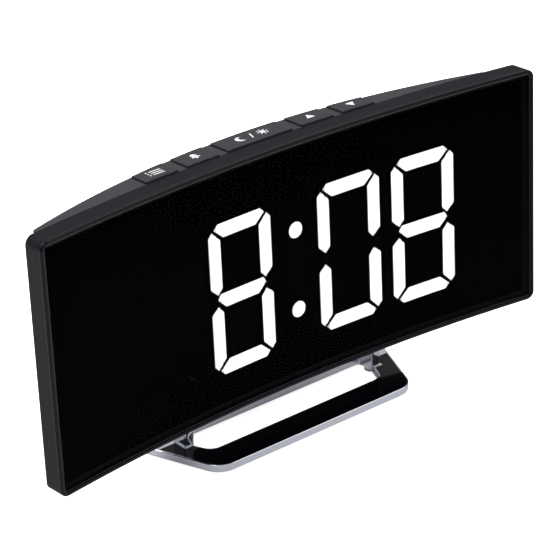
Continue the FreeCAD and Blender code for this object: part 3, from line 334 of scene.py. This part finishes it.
def moulded_plastic(name, colour, dark_colour, roughness):
    """Plain moulded plastic with faint flow marks."""
    material, tree = new_material(name)
    place = add(tree, "ShaderNodeTexCoord").outputs["Object"]
    flow = add(
        tree,
        "ShaderNodeTexNoise",
        {"Scale": 1 / (5 * MM), "Detail": 3.0, "Distortion": 0.6},
        {"Vector": place},
    )
    shade = add(
        tree,
        "ShaderNodeMix",
        {"data_type": "RGBA", 6: srgb(colour), 7: srgb(dark_colour)},
        {0: flow.outputs["Fac"]},
    )
    bump = add(
        tree, "ShaderNodeBump", {"Strength": 0.15, "Distance": 0.02 * MM}, {"Height": flow.outputs["Fac"]}
    )
    plastic = add(
        tree,
        "ShaderNodeBsdfPrincipled",
        {"Roughness": roughness, "IOR": 1.5},
        {"Base Color": shade.outputs[2], "Normal": bump.outputs[0]},
    )
    put_out(tree, plastic)
    return material


dress(moulded_plastic("polycarbonate_white_moulded", "e6e6e2", "d4d4ce", 0.5), "light_box", "ribbon_sockets")

# ---------------------------------------------------------------- circuit boards
# Both boards are glass-epoxy laminate under a green lacquer. The copper tracks show through the
# lacquer as lighter green lines.

laminate, tree = new_material("glass_epoxy_green_lacquer")
place = add(tree, "ShaderNodeTexCoord").outputs["Object"]
track_pitch = 2.2
tracks = add(
    tree,
    "ShaderNodeTexBrick",
    {
        "Color1": srgb("0f5a2c"),
        "Color2": srgb("13662f"),
        "Mortar": srgb("2b8a4a"),
        "Scale": 1 / (track_pitch * 4 * MM),
        "Mortar Size": 0.02,
    },
    {"Vector": place},
)
lacquer = add(
    tree, "ShaderNodeBsdfPrincipled", {"Roughness": 0.3, "IOR": 1.5}, {"Base Color": tracks.outputs["Color"]}
)
put_out(tree, lacquer)
dress(laminate, "display_board", "switch_board")

# ---------------------------------------------------------------- lamps, chips and other small parts
# The parts soldered to the boards: resin lamps, black epoxy packages, drawn aluminium cans, a black
# sounder and the switch bodies.

dress(moulded_plastic("clear_resin_yellow", "e8e0b0", "d8cf98", 0.25), "display_leds")
black_epoxy = moulded_plastic("epoxy_black_moulded", "161617", "1e1e1f", 0.55)
dress(black_epoxy, "controller_chip", "driver_chip", "buzzer")
dress(black_epoxy, "tact_switches", "cell_holder", "power_socket_insert")
dress(
    moulded_plastic("nylon_black_plunger", "121213", "18181a", 0.5),
    "mode_plunger",
    "alarm_plunger",
    "snooze_light_plunger",
    "up_plunger",
    "down_plunger",
)
dress(moulded_plastic("polyester_film_grey", "b9bcc2", "a9acb3", 0.35), "ribbon_cable")


def plated_metal(name, colour, dark_colour, roughness, scratch_mm):
    """Bright metal whose fine drawing lines blur the reflections a little."""
    material, tree = new_material(name)
    place = add(tree, "ShaderNodeTexCoord").outputs["Object"]
    stretched = add(tree, "ShaderNodeMapping", {"Scale": (1, 1, 6)}, {"Vector": place})
    lines = add(
        tree,
        "ShaderNodeTexNoise",
        {"Scale": 1 / (scratch_mm * MM), "Detail": 4.0},
        {"Vector": stretched.outputs[0]},
    )
    shade = add(
        tree,
        "ShaderNodeMix",
        {"data_type": "RGBA", 6: srgb(colour), 7: srgb(dark_colour)},
        {0: lines.outputs["Fac"]},
    )
    blur = add(
        tree,
        "ShaderNodeMapRange",
        {"From Min": 0.3, "From Max": 0.7, "To Min": roughness * 0.8, "To Max": roughness * 1.4},
        {"Value": lines.outputs["Fac"]},
    )
    metal = add(
        tree,
        "ShaderNodeBsdfPrincipled",
        {"Metallic": 1.0},
        {"Base Color": shade.outputs[2], "Roughness": blur.outputs[0]},
    )
    put_out(tree, metal)
    return material


dress(plated_metal("aluminium_drawn_can", "c4c6c9", "b4b6ba", 0.3, 0.6), "clock_crystal", "capacitors")
nickel = plated_metal("steel_nickel_plated", "c9c8c4", "b8b7b2", 0.25, 0.5)
dress(nickel, "back_up_cell", "cell_contact", "power_socket_shell")
zinc = plated_metal("steel_zinc_plated", "b4b7bb", "9ea1a6", 0.32, 0.4)
dress(zinc, "board_screws", "case_screws", "stand_screws")

# ---------------------------------------------------------------- rear cover and cell door
# The back shell and its sliding door come from one mould set in the same textured ABS, a shade
# greyer than the bezel. The cover is screwed to the bezel and the door slides down off the cell.

cover_abs, tree, satin = textured_abs("abs_spark_eroded_graphite", "29292c", "303033", 0.4, 0.5, 0.25)
put_out(tree, satin)
dress(cover_abs, "rear_cover", "cell_door")

# ---------------------------------------------------------------- keys
# Five caps moulded in ABS with a fine satin texture, each on its own switch. White symbols are pad
# printed on top: a list for mode, a bell, a moon and a sun, and two arrows.

key_abs, tree, satin = textured_abs("abs_satin_keys", "262629", "2c2c2f", 0.3, 0.42, 0.2)
put_out(tree, satin)
dress(key_abs, "mode_button", "alarm_button", "snooze_light_button", "up_button", "down_button")

INK_THICK = 0.03
KEY_TOP = 39.6
key_middles = {
    "mode": (-41.6, 9.5),
    "alarm": (-26.0, 10.9),
    "snooze_light": (-4.2, 11.6),
    "up": (17.6, 11.0),
    "down": (33.2, 9.8),
}

white_ink, tree = new_material("pad_printed_white_ink")
place = add(tree, "ShaderNodeTexCoord").outputs["Object"]
speckle = add(tree, "ShaderNodeTexNoise", {"Scale": 1 / (0.3 * MM), "Detail": 1.0}, {"Vector": place})
shade = add(
    tree,
    "ShaderNodeMix",
    {"data_type": "RGBA", 6: srgb("f2f2f2"), 7: srgb("dcdcde")},
    {0: speckle.outputs["Fac"]},
)
put_out(tree, add(tree, "ShaderNodeBsdfPrincipled", {"Roughness": 0.6}, {"Base Color": shade.outputs[2]}))


def bar(shape, x, y, width, height, turn=0.0):
    """A printed bar."""
    made = bmesh.ops.create_cube(shape, size=1.0)["verts"]
    bmesh.ops.scale(shape, vec=(width, height, INK_THICK), verts=made)
    bmesh.ops.rotate(shape, cent=(0, 0, 0), matrix=Matrix.Rotation(turn, 3, "Z"), verts=made)
    bmesh.ops.translate(shape, vec=(x, y, INK_THICK / 2), verts=made)


def disc(shape, x, y, radius, segments=28, turn=0.0):
    """A printed disc, or with few segments a polygon."""
    made = bmesh.ops.create_cone(
        shape, cap_ends=True, segments=segments, radius1=radius, radius2=radius, depth=INK_THICK
    )["verts"]
    bmesh.ops.rotate(shape, cent=(0, 0, 0), matrix=Matrix.Rotation(turn, 3, "Z"), verts=made)
    bmesh.ops.translate(shape, vec=(x, y, INK_THICK / 2), verts=made)
    return made


def crescent(shape, x, y, radius):
    """A printed moon: two arcs between the same two points, joined and thickened."""
    for centre, size, half in ((0.0, radius, 2.2), (0.62 * radius, 0.8345 * radius, 1.816)):
        start = math.pi - half
        first = shape.verts.new((centre + size * math.cos(start), size * math.sin(start), 0))
        bmesh.ops.spin(shape, geom=[first], cent=(centre, 0, 0), axis=(0, 0, 1), angle=2 * half, steps=20)
    edges = [e for e in shape.edges if e.is_wire]
    faces = bmesh.ops.bridge_loops(shape, edges=edges)["faces"]
    grown = bmesh.ops.extrude_face_region(shape, geom=faces)["geom"]
    raised = [g for g in grown if isinstance(g, bmesh.types.BMVert)]
    bmesh.ops.translate(shape, vec=(0, 0, INK_THICK), verts=raised)
    whole = list({v for f in faces for v in f.verts} | set(raised))
    bmesh.ops.translate(shape, vec=(x, y, 0), verts=whole)


def print_symbol(key, draw):
    """Draws a symbol on a key's top and lets it move with the key."""
    shape = bmesh.new()
    draw(shape)
    bmesh.ops.remove_doubles(shape, verts=shape.verts, dist=1e-5)
    bmesh.ops.recalc_face_normals(shape, faces=shape.faces)
    x, y = key_middles[key]
    place = body_to_world @ Matrix.Translation((x, y, KEY_TOP - 0.005))
    bmesh.ops.transform(shape, matrix=place, verts=shape.verts)
    data = bpy.data.meshes.new(key + "_symbol")
    shape.to_mesh(data)
    shape.free()
    data.materials.append(white_ink)
    piece = bpy.data.objects.new(key + "_symbol", data)
    bpy.context.scene.collection.objects.link(piece)
    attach(piece, key + "_key")


def draw_list(shape):
    for row in (-1, 0, 1):
        bar(shape, 0.8, row * 1.2, 4.0, 0.42)
        disc(shape, -2.2, row * 1.2, 0.3, 12)


def draw_bell(shape):
    disc(shape, 0, 0.6, 1.0)
    bar(shape, 0, 0.0, 2.0, 1.3)
    bar(shape, 0, -0.75, 3.0, 0.36)
    disc(shape, 0, -1.35, 0.36, 16)


def draw_moon_and_sun(shape):
    crescent(shape, -4.2, 0.0, 1.6)
    bar(shape, 0, 0, 0.4, 3.4, -0.35)
    disc(shape, 4.2, 0, 0.85)
    for ray in range(8):
        turn = ray * math.pi / 4
        bar(shape, 4.2 + 1.5 * math.cos(turn), 1.5 * math.sin(turn), 0.75, 0.34, turn)


def draw_up(shape):
    disc(shape, 0, -0.2, 1.75, 3, 0)


def draw_down(shape):
    disc(shape, 0, 0.2, 1.75, 3, math.pi)


print_symbol("mode", draw_list)
print_symbol("alarm", draw_bell)
print_symbol("snooze_light", draw_moon_and_sun)
print_symbol("up", draw_up)
print_symbol("down", draw_down)

# ---------------------------------------------------------------- stand
# The ring and posts are die-cast zinc, polished and chromium plated, so their sides mirror the room.
# A gloss black strip is bonded into the ring's top, and four soft pads stand on the table.

chrome, tree = new_material("zinc_bright_chrome_plated")
place = add(tree, "ShaderNodeTexCoord").outputs["Object"]
ripple = add(tree, "ShaderNodeTexNoise", {"Scale": 1 / (9 * MM), "Detail": 1.0}, {"Vector": place})
blur = add(
    tree,
    "ShaderNodeMapRange",
    {"From Min": 0.3, "From Max": 0.7, "To Min": 0.05, "To Max": 0.1},
    {"Value": ripple.outputs["Fac"]},
)
bump = add(
    tree, "ShaderNodeBump", {"Strength": 0.08, "Distance": 0.1 * MM}, {"Height": ripple.outputs["Fac"]}
)
put_out(
    tree,
    add(
        tree,
        "ShaderNodeBsdfPrincipled",
        {"Metallic": 1.0, "Base Color": srgb("c6c7ce")},
        {"Roughness": blur.outputs[0], "Normal": bump.outputs[0]},
    ),
)
dress(chrome, "stand_base")

piano_black, tree = new_material("acrylic_piano_black")
place = add(tree, "ShaderNodeTexCoord").outputs["Object"]
orange_peel = add(tree, "ShaderNodeTexNoise", {"Scale": 1 / (4 * MM), "Detail": 1.0}, {"Vector": place})
blur = add(
    tree,
    "ShaderNodeMapRange",
    {"From Min": 0.3, "From Max": 0.7, "To Min": 0.04, "To Max": 0.1},
    {"Value": orange_peel.outputs["Fac"]},
)
put_out(
    tree,
    add(
        tree,
        "ShaderNodeBsdfPrincipled",
        {"Base Color": srgb("030306"), "IOR": 1.49, "Specular IOR Level": 0.1},
        {"Roughness": blur.outputs[0]},
    ),
)
dress(piano_black, "stand_inlay")
dress(moulded_plastic("silicone_rubber_black", "1a1a1a", "202020", 0.8), "stand_feet")

# ---------------------------------------------------------------- table, lights and camera
# A pale seamless table top under a ceiling that is brighter than the walls, with a large soft light
# above and behind on the left and a weaker one on the right. The table and the room look whiter
# straight from the camera than they do in reflections.

table_paint, tree = new_material("matt_white_table")
place = add(tree, "ShaderNodeTexCoord").outputs["Object"]
fibre = add(tree, "ShaderNodeTexNoise", {"Scale": 1 / (3 * MM), "Detail": 2.0}, {"Vector": place})
shade = add(
    tree,
    "ShaderNodeMix",
    {"data_type": "RGBA", 6: srgb("f7f7f7"), 7: srgb("f4f4f4")},
    {0: fibre.outputs["Fac"]},
)
seen = add(tree, "ShaderNodeLightPath").outputs["Is Camera Ray"]
mirrored = add(
    tree, "ShaderNodeMix", {"data_type": "RGBA", 6: srgb("ececf0")}, {0: seen, 7: shade.outputs[2]}
)
lift = add(tree, "ShaderNodeMath", {"operation": "MULTIPLY", 1: 0.8}, {0: seen})
put_out(
    tree,
    add(
        tree,
        "ShaderNodeBsdfPrincipled",
        {"Roughness": 0.9, "Specular IOR Level": 0.1, "Emission Color": srgb("ffffff")},
        {"Base Color": mirrored.outputs[2], "Emission Strength": lift.outputs[0]},
    ),
)
shape = bmesh.new()
bmesh.ops.create_grid(shape, x_segments=1, y_segments=1, size=3.0)
data = bpy.data.meshes.new("table_top")
shape.to_mesh(data)
shape.free()
data.materials.append(table_paint)
table_top = bpy.data.objects.new("table_top", data)
bpy.context.scene.collection.objects.link(table_top)

room = bpy.data.worlds.new("white_room")
room.use_nodes = True
tree = room.node_tree
direction = add(tree, "ShaderNodeTexCoord").outputs["Generated"]
height = add(tree, "ShaderNodeSeparateXYZ", {}, {0: direction}).outputs["Z"]
ceiling = add(
    tree,
    "ShaderNodeMapRange",
    {"From Min": 0.1, "From Max": 0.75, "To Min": 0.0, "To Max": 1.0},
    {"Value": height},
)
walls = add(
    tree,
    "ShaderNodeMix",
    {"data_type": "RGBA", 6: srgb("8a8a94"), 7: srgb("ffffff")},
    {0: ceiling.outputs[0]},
)
seen = add(tree, "ShaderNodeLightPath").outputs["Is Camera Ray"]
backdrop = add(
    tree, "ShaderNodeMix", {"data_type": "RGBA", 7: srgb("ffffff")}, {0: seen, 6: walls.outputs[2]}
)
tree.links.new(backdrop.outputs[2], tree.nodes["Background"].inputs["Color"])
bpy.context.scene.world = room


def soft_light(name, place, target, size, power):
    """A square soft box that faces a point."""
    data = bpy.data.lights.new(name, "AREA")
    data.shape = "SQUARE"
    data.size = size
    data.energy = power
    lamp = bpy.data.objects.new(name, data)
    lamp.location = place
    lamp.rotation_euler = (Vector(target) - Vector(place)).to_track_quat("-Z", "Y").to_euler()
    bpy.context.scene.collection.objects.link(lamp)


soft_light("key_light", (-0.45, 0.35, 1.2), (0, 0, 0.05), 0.9, 13)
soft_light("fill_light", (0.9, -0.3, 0.9), (0, 0, 0.05), 0.7, 3)

CAMERA_PLACE = Vector((-0.4437, -0.5199, 0.3999))
CAMERA_AZIMUTH = math.radians(40.39)
CAMERA_ELEVATION = math.radians(27.423)
camera_data = bpy.data.cameras.new("camera")
camera_data.sensor_width = 36
camera_data.lens = 166.1
camera = bpy.data.objects.new("camera", camera_data)
camera.location = CAMERA_PLACE
looking = Vector(
    (
        math.sin(CAMERA_AZIMUTH) * math.cos(CAMERA_ELEVATION),
        math.cos(CAMERA_AZIMUTH) * math.cos(CAMERA_ELEVATION),
        -math.sin(CAMERA_ELEVATION),
    )
)
camera.rotation_euler = looking.to_track_quat("-Z", "Y").to_euler()
bpy.context.scene.collection.objects.link(camera)
bpy.context.scene.camera = camera
bpy.context.scene.view_settings.view_transform = "Standard"
